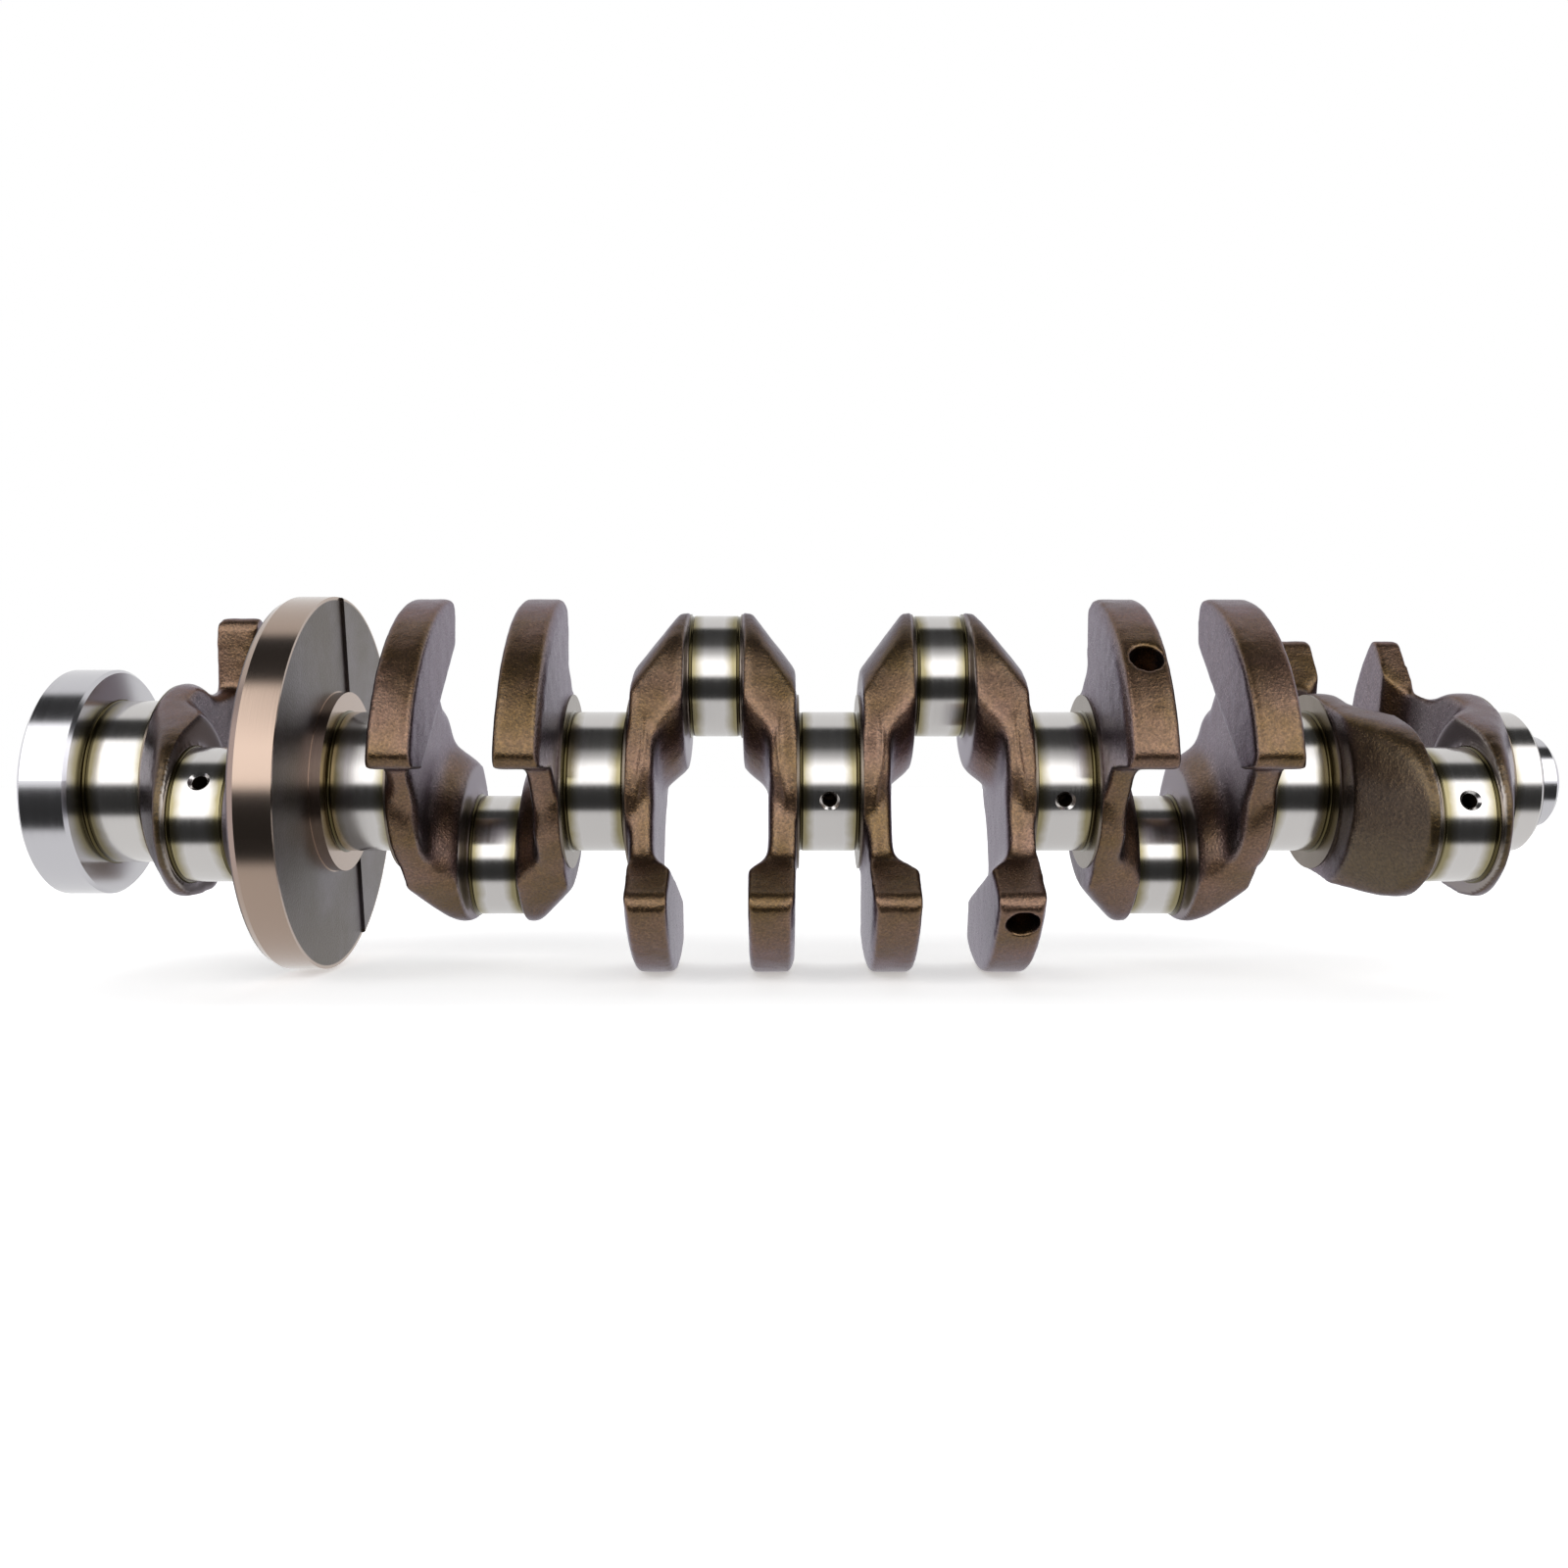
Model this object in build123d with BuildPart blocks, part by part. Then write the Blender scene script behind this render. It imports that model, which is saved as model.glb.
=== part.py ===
"""Forged crankshaft of an inline six-cylinder engine, in millimetres.

The shaft lies along X with the nose at +X and the flywheel flange at -X, and +Z is up.
The origin is on the main axis, in the middle of main journal 4, the centre bearing.
Journals and crankpins are numbered from the nose; web 1 is the one beside journal 1.
Angles go round the main axis from -Y (0 degrees) up towards +Z (90 degrees).

The real shaft is one steel forging. It is cut here at its ground shoulders, so that each
journal, crankpin, web, flange and nose is a solid of its own, seated face to face.
"""
import os
from math import cos, radians, sin

from build123d import *

# Overall layout
BORE_PITCH = 91.0  # distance between neighbouring cylinders along the shaft
THROW = 44.8  # half of the 89.6 mm stroke
FIRST_PIN_ANGLE = -16.0
PIN_ANGLES = [FIRST_PIN_ANGLE + turn for turn in (0, -120, 120, 120, -120, 0)]

# Main journals
MAIN_R = 28.0
MAIN_WIDTH = 23.5  # shoulder to shoulder
REAR_MAIN_R = 32.5  # journal 7, beside the flange, is thicker ...
REAR_MAIN_EXTRA = 1.0  # ... and a little longer than half a journal past its centre
FRONT_MAIN_END = 3.2  # how far journal 1 runs past its own centre

# Crankpins
PIN_R = 25.0
PIN_WIDTH = 20.5  # shoulder to shoulder

# The rolled fillet at each end of a journal
FILLET_WIDTH = 1.5
FILLET_RISE = 0.6
FILLET_DIP = 0.25

# Webs: distances along the web start at the main journal's shoulder
WEB_LENGTH = (BORE_PITCH - MAIN_WIDTH - PIN_WIDTH) / 2
MAIN_COLLAR_R = MAIN_R + 7.0
WEB_FACE = 1.2  # the forged face on the main journal's side
HUB_R = MAIN_COLLAR_R + 1.0  # the web's round end about the main axis
REAR_COLLAR_R = REAR_MAIN_R + 6.5  # web 12, beside the thicker journal, has a larger collar ...
REAR_HUB_R = REAR_COLLAR_R + 1.0  # ... and hub
BEVEL_END = WEB_LENGTH - 4.1  # where the bevel at the main journal's side reaches the tip
BEVEL_REACH = 9.5  # how far the flat face reaches past the hub, towards the crankpin
REAR_BEVEL_REACH = 5.0
BEVEL_FOOT_R = HUB_R + 5.0
BEVEL_TIP_R = HUB_R + 6.0
NECK_FACE = WEB_LENGTH - 11.3  # where the web's thin middle ends, on the crankpin's side
CHEEK_TIP = PIN_R + 0.7  # how far the cheek's tip stands past the crankpin's centre
CHEEK_R = PIN_R + 8.8  # radius of the web's round end about the crankpin
BOSS_R = PIN_R + 14.0  # the thrust boss round the crankpin, at its face ...
BOSS_FOOT_R = PIN_R + 22.0  # ... and at its foot
BOSS_FACE = WEB_LENGTH - 1.2
PIN_COLLAR_R = PIN_R + 0.65
NECK_HALF_WIDTH = MAIN_R + 2.0
NECK_END = HUB_R + 1.0  # where the neck meets the counterweight's shoulders

# Counterweights
WEIGHT_SPANS = {  # by web: the gap to the main journal's shoulder, and to the crankpin's
    1: (8.9, 2.2), 2: (1.6, 4.3), 3: (0.9, 2.2), 4: (1.4, 2.2), 5: (0.6, 3.4), 6: (2.2, 2.0),
    7: (1.2, 3.8), 8: (2.4, 3.6), 9: (1.2, 4.1), 10: (2.4, 2.8), 12: (1.2, 3.7)}
WEIGHT_RADII = (76.8, 73.8, 75.8, 75.8, 73.8, 76.8)  # by crankpin
WEIGHT_SLOPE_IN = HUB_R - 0.5  # the inner face slopes from here, at the neck's face ...
WEIGHT_SLOPE_OUT = HUB_R + 7.0  # ... to here, at the weight's own face
WEIGHT_CORNER_R = 6.0
WEIGHT_DRAFT = 0.6  # each face leans in by this up to the rim
WEIGHT_EDGE = 1.6  # the bevel on the rim's inner edge
WEIGHT_OUTER_EDGE = 2.4  # the rim's outer edge, beside the main journal, is blunter
WEIGHT_SPREAD = 41.0  # half of the angle that a counterweight covers
WIDE_SPREAD = 56.5

# The round web between crankpin 6 and journal 6
DISC_R = 74.5
DISC_START = 3.2
DISC_END = WEB_LENGTH - 2.5
DISC_BOSS_R = MAIN_R + 8.0
DISC_STEP = 1.2  # the side towards the crankpin is thinner by this ...
DISC_STEP_OFFSET = 18.0  # ... up to a line this far past the main axis
DISC_EDGE = 0.6
DISC_REAR_EDGE = (1.6, 3.0)  # the rear edge is blunter: its bevel across and along the rim

# Rear flange, for the flywheel and the rear oil seal
FLANGE_R = 45.0
FLANGE_THICKNESS = 18.4
FLANGE_CHAMFER = 1.2
BOLT_COUNT = 8
BOLT_CIRCLE_R = FLANGE_R - 10.0
BOLT_HOLE_R = 5.25  # tapping size of an M12 x 1.5 thread
PILOT_R = 17.5
PILOT_DEPTH = 14.0
DOWEL_R = 4.0
DOWEL_LENGTH = 16.0
DOWEL_PROUD = 6.0
DOWEL_ANGLE = 90.0 + 180.0 / BOLT_COUNT

# Nose
NOSE_R = 18.0
NOSE_LENGTH = 11.6
NOSE_CHAMFER = 1.8
NOSE_BOLT_R = 8.25  # tapping size of an M18 x 1.5 thread
NOSE_BOLT_DEPTH = 34.0
NOSE_MOUTH_CHAMFER = 1.5
FRONT_MAIN_CHAMFER = 1.5

# Oil drillings, from each main journal to the crankpin of the same number
OIL_R = 2.75
OIL_CHAMFER = 1.2
OIL_MEETING_R = MAIN_R - 8.0  # the journal's drilling meets the crankpin's this far off the axis
OIL_PIN_DEPTH = 7.0  # the crankpin's own drilling turns towards the journal here
OIL_MAIN_LAG = 120.0  # the journal's mouth lies this far behind the crankpin's direction
OIL_PIN_LEADS = (28.6, 28.6, 28.6, 45.3, 45.3, 45.3)  # the crankpin's mouth, ahead of it

# Balance drillings in the rims of counterweights: web, angle, distance along the web
BALANCE_R = 6.0
BALANCE_DEPTH = 17.0
BALANCE_HOLES = ((5, -44.0, 9.8), (4, 38.0, 12.6))

CYLINDERS = len(PIN_ANGLES)
OVERSIZE = 2.0  # how far a cutting shape runs past what it cuts
CHEEK_CENTRE = THROW + CHEEK_TIP - CHEEK_R
TIP_R = THROW + CHEEK_TIP
DISC_WEB = 11


def main_x(number):
    """The middle of a main journal along the shaft."""
    return BORE_PITCH * ((CYLINDERS + 2) / 2 - number)


def pin_x(number):
    """The middle of a crankpin along the shaft."""
    return main_x(number) - BORE_PITCH / 2


def radial(angle, distance):
    """A point or direction square to the main axis, at an angle from -Y towards +Z."""
    return Vector(0, -distance * cos(radians(angle)), distance * sin(radians(angle)))


def ring_plane(x, angle, facing=1):
    """A plane square to the shaft, its X towards the angle and its normal along the shaft."""
    return Plane(origin=(x, 0, 0), x_dir=radial(angle, 1), z_dir=(facing, 0, 0))


def web_numbers(number):
    """The main journal and the crankpin that a web joins."""
    return number // 2 + 1, (number + 1) // 2


def web_plane(number):
    """A web's own plane: at the main journal's shoulder, facing the crankpin."""
    main, pin = web_numbers(number)
    facing = 1 if pin_x(pin) > main_x(main) else -1
    return ring_plane(main_x(main) + facing * MAIN_WIDTH / 2, PIN_ANGLES[pin - 1], facing)


def oil_mouth(number, on_pin):
    """Where an oil drilling leaves the crankpin, or else the main journal."""
    throw = PIN_ANGLES[number - 1]
    if on_pin:
        lead = OIL_PIN_LEADS[number - 1]
        return Vector(pin_x(number), 0, 0) + radial(throw, THROW) + radial(throw + lead, PIN_R)
    mouth_x = min(main_x(number), FRONT_MAIN_MOUTH)
    return Vector(mouth_x, 0, 0) + radial(throw - OIL_MAIN_LAG, MAIN_R)


# Journal 1 is cut short, so its mouth sits in the middle of what is left of it.
FRONT_MAIN_MOUTH = main_x(1) + (FRONT_MAIN_END - MAIN_WIDTH / 2) / 2


def drilling(start, end, radius, flare):
    """A straight drilling that opens into a countersunk mouth at its start."""
    way = (end - start).normalized()
    with BuildPart() as cutter:
        with BuildSketch(Plane(origin=start - way * OVERSIZE, z_dir=way)):
            Circle(radius)
        extrude(amount=(end - start).length + OVERSIZE)
        if flare:
            with BuildSketch(Plane(origin=start - way * flare, z_dir=way)):
                Circle(radius + 2 * flare)
            with BuildSketch(Plane(origin=start + way * flare, z_dir=way)):
                Circle(radius)
            loft()
    return cutter.part


def oil_way(number):
    """Short radial drillings in the journal and the crankpin, and the long slanting one."""
    journal_mouth = oil_mouth(number, on_pin=False)
    pin_mouth = oil_mouth(number, on_pin=True)
    pin_centre = Vector(pin_x(number), 0, 0) + radial(PIN_ANGLES[number - 1], THROW)
    inward = Vector(0, -journal_mouth.Y, -journal_mouth.Z).normalized()
    pin_inward = (pin_centre - pin_mouth).normalized()
    meeting = journal_mouth + inward * (MAIN_R - OIL_MEETING_R)
    turn = pin_mouth + pin_inward * OIL_PIN_DEPTH
    with BuildPart() as way:
        add(drilling(journal_mouth, meeting + inward * OIL_R, OIL_R, OIL_CHAMFER))
        add(drilling(pin_mouth, turn + pin_inward * OIL_R, OIL_R, OIL_CHAMFER))
        add(drilling(turn, meeting, OIL_R, 0))
    return way.part


def journal(x, radius, left, right, centre_offset=Vector(0, 0, 0), end_fillets=(True, True)):
    """A ground journal between two stations, with a rolled fillet where it meets a shoulder."""
    middle = Plane(origin=Vector(x, 0, 0) + centre_offset, x_dir=(1, 0, 0), z_dir=(0, -1, 0))
    sine = FILLET_WIDTH * 0.45
    with BuildPart() as body:
        with BuildSketch(middle):
            with BuildLine():
                start = (left, radius)
                if end_fillets[0]:
                    Line((left, 0), (left, radius + FILLET_RISE))
                    start = (left + FILLET_WIDTH, radius)
                    ThreePointArc((left, radius + FILLET_RISE),
                                  (left + sine, radius - FILLET_DIP), start)
                else:
                    Line((left, 0), start)
                if end_fillets[1]:
                    finish = (right - FILLET_WIDTH, radius)
                    ThreePointArc(finish, (right - sine, radius - FILLET_DIP),
                                  (right, radius + FILLET_RISE))
                    Line((right, radius + FILLET_RISE), (right, 0))
                else:
                    finish = (right, radius)
                    Line(finish, (right, 0))
                Line(start, finish)
                Line((right, 0), (left, 0))
            make_face()
        revolve(axis=Axis(middle.origin, (1, 0, 0)))
    return body.part


def across_plane(base):
    """A web's plane seen across the shaft: X along the web, Y towards the crankpin."""
    return Plane(origin=base.origin, x_dir=base.z_dir, z_dir=base.z_dir.cross(base.x_dir))


def bevel_blank(base, reach):
    """A leaning cone that bevels the cheek, from the main journal's side up to its tip."""
    slope = (TIP_R - BEVEL_TIP_R - HUB_R - reach + BEVEL_FOOT_R) / (BEVEL_END - WEB_FACE)
    foot = HUB_R + reach - BEVEL_FOOT_R - slope * WEB_FACE
    with BuildPart() as blank:
        with BuildSketch(base):
            with Locations((foot, 0)):
                Circle(BEVEL_FOOT_R)
        with BuildSketch(base.offset(BEVEL_END)):
            with Locations((TIP_R - BEVEL_TIP_R, 0)):
                Circle(BEVEL_TIP_R)
        loft(ruled=True)
        with BuildSketch(base.offset(BEVEL_END)):
            with Locations((TIP_R - BEVEL_TIP_R, 0)):
                Circle(BEVEL_TIP_R)
        extrude(amount=WEB_LENGTH - BEVEL_END)
    return blank.part


def waist_cutter(base):
    """What is cut away on the crankpin's side, all round the thrust boss."""
    height = WEB_LENGTH - NECK_FACE
    rise = (BOSS_FOOT_R - BOSS_R) / (BOSS_FACE - NECK_FACE)
    with BuildPart() as cutter:
        with BuildSketch(base.offset(NECK_FACE)):
            Circle(2 * TIP_R)
        extrude(amount=height)
        with BuildSketch(base.offset(NECK_FACE)):
            with Locations((THROW, 0)):
                Circle(BOSS_FOOT_R)
        with BuildSketch(base.offset(WEB_LENGTH)):
            with Locations((THROW, 0)):
                Circle(BOSS_FOOT_R - rise * height)
        loft(mode=Mode.SUBTRACT)
    return cutter.part


def cheek(base, hub_r, reach):
    """The web's end round the crankpin, with its thrust boss and its bevelled back."""
    with BuildPart() as body:
        with BuildSketch(base.offset(WEB_FACE)):
            Circle(hub_r)
            with Locations((CHEEK_CENTRE, 0)):
                Circle(CHEEK_R)
            make_hull()
        extrude(amount=BOSS_FACE - WEB_FACE)
        add(waist_cutter(base), mode=Mode.SUBTRACT)
        add(bevel_blank(base, reach), mode=Mode.INTERSECT)
    return body.part


def rim_blank(base, outer_r, start, end):
    """A turned blank that leans the counterweight's faces in and breaks its rim's edges."""
    top = start + WEIGHT_DRAFT + WEIGHT_OUTER_EDGE
    bottom = end - WEIGHT_DRAFT - WEIGHT_EDGE
    with BuildPart() as blank:
        with BuildSketch(across_plane(base)):
            with BuildLine():
                Polyline((start - WEIGHT_EDGE, 0), (start, WEIGHT_SLOPE_OUT),
                         (start + WEIGHT_DRAFT, outer_r - 2 * WEIGHT_OUTER_EDGE),
                         (top - WEIGHT_OUTER_EDGE / 2, outer_r - WEIGHT_OUTER_EDGE / 2),
                         (top, outer_r), (bottom, outer_r),
                         (bottom + WEIGHT_EDGE, outer_r - WEIGHT_EDGE),
                         (end, WEIGHT_SLOPE_OUT), (end + WEIGHT_EDGE, 0), close=True)
            make_face()
        revolve(axis=Axis(base.origin, base.z_dir))
    return blank.part


def weight(base, outer_r, spread, start, end):
    """The neck and the counterweight opposite the crankpin."""
    corner_x = -outer_r * cos(radians(spread))
    corner_y = outer_r * sin(radians(spread))
    with BuildPart() as body:
        with BuildSketch(base) as outline:
            with BuildLine():
                Polyline((0, NECK_HALF_WIDTH), (-NECK_END, NECK_HALF_WIDTH), (corner_x, corner_y))
                ThreePointArc((corner_x, corner_y), (-outer_r, 0), (corner_x, -corner_y))
                Polyline((corner_x, -corner_y), (-NECK_END, -NECK_HALF_WIDTH),
                         (0, -NECK_HALF_WIDTH), (0, NECK_HALF_WIDTH))
            make_face()
        extrude(amount=WEB_LENGTH)
        upright = body.edges().filter_by(Axis.X)
        by_reach = upright.sort_by(lambda edge: Vector(0, edge.center().Y, edge.center().Z).length)
        fillet(by_reach[-2:], WEIGHT_CORNER_R)
        with BuildSketch(across_plane(base)):
            with BuildLine():
                Polyline((WEB_FACE, OVERSIZE), (WEB_FACE, -HUB_R),
                         (start, -HUB_R - start), (start, -2 * outer_r),
                         (end, -2 * outer_r), (end, -WEIGHT_SLOPE_OUT),
                         (NECK_FACE, -WEIGHT_SLOPE_IN), (NECK_FACE, OVERSIZE), close=True)
            make_face()
        extrude(amount=2 * outer_r, both=True, mode=Mode.INTERSECT)
        add(rim_blank(base, outer_r, start, end), mode=Mode.INTERSECT)
    return body.part


def collars(base, face, pin_ring_start, main_collar_r=MAIN_COLLAR_R):
    """The ground rings that a web turns towards its journal and its crankpin."""
    with BuildPart() as rings:
        with BuildSketch(base):
            Circle(main_collar_r)
        extrude(amount=face)
        with BuildSketch(base.offset(pin_ring_start)):
            with Locations((THROW, 0)):
                Circle(PIN_COLLAR_R)
        extrude(amount=WEB_LENGTH - pin_ring_start)
    return rings.part


def forged_web(number):
    """A web with its cheek round the crankpin and its counterweight opposite."""
    base = web_plane(number)
    at_rear = number == 2 * CYLINDERS
    reach = 0 if number == 1 else REAR_BEVEL_REACH if at_rear else BEVEL_REACH
    start, end_gap = WEIGHT_SPANS[number]
    outer_r = WEIGHT_RADII[web_numbers(number)[1] - 1]
    spread = WIDE_SPREAD if at_rear else WEIGHT_SPREAD
    with BuildPart() as web:
        add(cheek(base, REAR_HUB_R if at_rear else HUB_R, reach))
        add(weight(base, outer_r, spread, start, WEB_LENGTH - end_gap))
        add(collars(base, WEB_FACE, BOSS_FACE, REAR_COLLAR_R if at_rear else MAIN_COLLAR_R))
    return web.part


def disc_web(number):
    """The fully round web, whose face is a little lower on the crankpin's side."""
    base = web_plane(number)
    low = DISC_START + DISC_STEP
    across, along = DISC_REAR_EDGE
    with BuildPart() as web:
        with BuildSketch(across_plane(base)):
            with BuildLine():
                Polyline((DISC_START, 0), (DISC_START, DISC_R - DISC_EDGE),
                         (DISC_START + DISC_EDGE, DISC_R), (DISC_END - along, DISC_R),
                         (DISC_END, DISC_R - across), (DISC_END, 0), close=True)
            make_face()
        revolve(axis=Axis(base.origin, base.z_dir))
        with BuildSketch(base):
            with Locations((DISC_R - DISC_STEP_OFFSET, 0)):
                Rectangle(2 * DISC_R, 3 * DISC_R)
        extrude(amount=low, mode=Mode.SUBTRACT)
        with BuildSketch(base):
            Circle(DISC_BOSS_R)
        extrude(amount=low + DISC_STEP)
        add(collars(base, DISC_START, DISC_END))
    return web.part


def balance_hole(number, angle, along):
    """A radial drilling in a counterweight's rim, with the drill's pointed end."""
    base = web_plane(number)
    rim_r = WEIGHT_RADII[web_numbers(number)[1] - 1]
    mouth = base.origin + base.z_dir * along + radial(angle, rim_r)
    inward = radial(angle, -1)
    tip = BALANCE_R / 3
    with BuildPart() as cutter:
        with BuildSketch(Plane(origin=mouth - inward * OVERSIZE, z_dir=inward)):
            Circle(BALANCE_R)
        extrude(amount=BALANCE_DEPTH + OVERSIZE)
        with BuildSketch(Plane(origin=mouth + inward * BALANCE_DEPTH, z_dir=inward)):
            Circle(BALANCE_R)
        with BuildSketch(Plane(origin=mouth + inward * (BALANCE_DEPTH + tip), z_dir=inward)):
            Circle(BALANCE_R / 10)
        loft()
    return cutter.part


def save(solid, node):
    """Labels a finished piece and writes its STEP file."""
    solid.label = node
    export_step(solid, f"parts/{node}.step")


os.makedirs("parts", exist_ok=True)
oil_ways = {number: oil_way(number) for number in range(1, CYLINDERS + 1)}
nose_end = Vector(main_x(1) + FRONT_MAIN_END + NOSE_LENGTH, 0, 0)
bolt_end = nose_end - Vector(NOSE_BOLT_DEPTH, 0, 0)
nose_bolt_hole = drilling(nose_end, bolt_end, NOSE_BOLT_R, NOSE_MOUTH_CHAMFER)

# Crankpins
for number in range(1, CYLINDERS + 1):
    offset_to_pin = radial(PIN_ANGLES[number - 1], THROW)
    with BuildPart() as crankpin:
        add(journal(pin_x(number), PIN_R, -PIN_WIDTH / 2, PIN_WIDTH / 2, offset_to_pin))
        add(oil_ways[number], mode=Mode.SUBTRACT)
    save(crankpin.part, f"crankpin_{number}")

# Main journals 2 to 6 are alike, 1 stops short in a chamfer and 7 is thicker
flange_face = main_x(CYLINDERS + 1) - MAIN_WIDTH / 2 - REAR_MAIN_EXTRA
for number in range(1, CYLINDERS + 2):
    left, right, radius = -MAIN_WIDTH / 2, MAIN_WIDTH / 2, MAIN_R
    if number == 1:
        right = FRONT_MAIN_END
    if number == CYLINDERS + 1:
        left, radius = flange_face - main_x(number), REAR_MAIN_R
    with BuildPart() as main_journal:
        add(journal(main_x(number), radius, left, right, end_fillets=(True, number != 1)))
        if number == 1:
            chamfer(main_journal.edges().group_by(Axis.X)[-1], FRONT_MAIN_CHAMFER)
        if number <= CYLINDERS:
            add(oil_ways[number], mode=Mode.SUBTRACT)
        if number == 1:
            add(nose_bolt_hole, mode=Mode.SUBTRACT)
    save(main_journal.part, f"main_journal_{number}")

# Webs
for number in range(1, 2 * CYLINDERS + 1):
    main, pin = web_numbers(number)
    with BuildPart() as crank_web:
        add(disc_web(number) if number == DISC_WEB else forged_web(number))
        if main == pin:
            add(oil_ways[pin], mode=Mode.SUBTRACT)
        if number == 1:
            add(nose_bolt_hole, mode=Mode.SUBTRACT)
        for web, angle, along in BALANCE_HOLES:
            if web == number:
                add(balance_hole(web, angle, along), mode=Mode.SUBTRACT)
    name = "round_web_11" if number == DISC_WEB else f"web_{number:02d}"
    save(crank_web.part, name)

# Rear flange
flange_back = flange_face - FLANGE_THICKNESS
back_plane = ring_plane(flange_back, 0, facing=-1)
with BuildPart() as flange:
    with BuildSketch(back_plane):
        Circle(FLANGE_R)
    extrude(amount=-FLANGE_THICKNESS)
    chamfer(flange.edges().filter_by(GeomType.CIRCLE), FLANGE_CHAMFER)
    with Locations(back_plane):
        Hole(PILOT_R, PILOT_DEPTH)
        with PolarLocations(BOLT_CIRCLE_R, BOLT_COUNT):
            Hole(BOLT_HOLE_R, FLANGE_THICKNESS - OVERSIZE)
        with PolarLocations(BOLT_CIRCLE_R, 1, start_angle=DOWEL_ANGLE):
            Hole(DOWEL_R, DOWEL_LENGTH - DOWEL_PROUD)
save(flange.part, "rear_flange")

# Flywheel dowel, pressed into the flange
dowel_plane = ring_plane(flange_back + DOWEL_LENGTH - DOWEL_PROUD, 0, facing=-1)
with BuildPart() as dowel:
    with BuildSketch(dowel_plane):
        with PolarLocations(BOLT_CIRCLE_R, 1, start_angle=DOWEL_ANGLE):
            Circle(DOWEL_R)
    extrude(amount=DOWEL_LENGTH)
    chamfer(dowel.edges().group_by(Axis.X)[0], DOWEL_R / 5)
save(dowel.part, "flywheel_dowel")

# Nose
nose_plane = ring_plane(main_x(1) + FRONT_MAIN_END, 0)
with BuildPart() as nose:
    with BuildSketch(nose_plane):
        Circle(NOSE_R)
    extrude(amount=NOSE_LENGTH)
    chamfer(nose.edges().group_by(Axis.X)[-1], NOSE_CHAMFER)
    add(nose_bolt_hole, mode=Mode.SUBTRACT)
save(nose.part, "nose")
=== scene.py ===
import math
import bmesh
import bpy
import numpy as np
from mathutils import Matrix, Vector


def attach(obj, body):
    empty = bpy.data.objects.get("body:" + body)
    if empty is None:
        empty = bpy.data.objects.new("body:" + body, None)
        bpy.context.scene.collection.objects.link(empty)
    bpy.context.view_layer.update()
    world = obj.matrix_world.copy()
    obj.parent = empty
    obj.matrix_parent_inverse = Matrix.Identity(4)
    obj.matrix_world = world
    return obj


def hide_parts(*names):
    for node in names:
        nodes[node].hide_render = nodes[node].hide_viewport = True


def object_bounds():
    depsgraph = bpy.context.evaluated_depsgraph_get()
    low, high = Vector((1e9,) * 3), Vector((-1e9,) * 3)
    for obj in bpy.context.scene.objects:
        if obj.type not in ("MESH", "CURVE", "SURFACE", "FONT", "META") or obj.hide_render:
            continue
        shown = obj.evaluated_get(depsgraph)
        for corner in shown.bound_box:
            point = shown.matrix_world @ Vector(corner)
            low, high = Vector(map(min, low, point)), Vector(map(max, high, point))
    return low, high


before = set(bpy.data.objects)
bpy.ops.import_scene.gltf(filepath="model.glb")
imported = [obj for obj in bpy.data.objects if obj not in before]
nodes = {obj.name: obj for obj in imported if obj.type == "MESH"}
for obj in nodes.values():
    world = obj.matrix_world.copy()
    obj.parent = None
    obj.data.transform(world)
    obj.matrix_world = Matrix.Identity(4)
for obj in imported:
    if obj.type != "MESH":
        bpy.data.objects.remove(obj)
cad_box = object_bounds()


# Main journals and crankpins
# Steel, induction hardened, then ground and polished round the shaft.
# A rolled fillet, darkened with painted shade where the journal turns into the web, and a film of
# old oil sit at both ends of each one.

BORE_PITCH = 0.091
THROW = 0.0448
PIN_ANGLES = (-16.0, -136.0, 104.0, 104.0, -136.0, -16.0)
MAIN_RADIUS = 0.028
MAIN_HALF_WIDTH = 0.0102  # up to where the fillet begins
PIN_RADIUS = 0.025
PIN_HALF_WIDTH = 0.0088
FILLET_START, FILLET_END = -0.0003, 0.0006  # the painted shade in the fillet groove, past the half width
HOLE_RIM, HOLE_WALL = 0.0009, 0.0013  # painted shade darkens a drilled hole between these depths
GRINDING_LINE = 0.0007  # real grinding lines are finer; this is as fine as still shows
OIL_FILM_WIDTH = 0.0030


def linear(hex_colour):
    """A colour in linear light from its sRGB hex value."""
    parts = [int(hex_colour[i:i + 2], 16) / 255 for i in (1, 3, 5)]
    return [p / 12.92 if p <= 0.04045 else ((p + 0.055) / 1.055) ** 2.4 for p in parts] + [1.0]


def add_node(tree, kind, inputs=None, **settings):
    """Adds a node, sets its settings, and fills or links its inputs by name or number."""
    node = tree.nodes.new(kind)
    for key, value in settings.items():
        setattr(node, key, value)
    for key, value in (inputs or {}).items():
        socket = node.inputs[key]
        if isinstance(value, bpy.types.NodeSocket):
            tree.links.new(value, socket)
        else:
            socket.default_value = value
    return node


def start_material(name):
    """An empty node material with its output node."""
    material = bpy.data.materials.new(name)
    material.use_nodes = True
    material.node_tree.nodes.clear()
    output = add_node(material.node_tree, "ShaderNodeOutputMaterial")
    return material, material.node_tree, output


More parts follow.
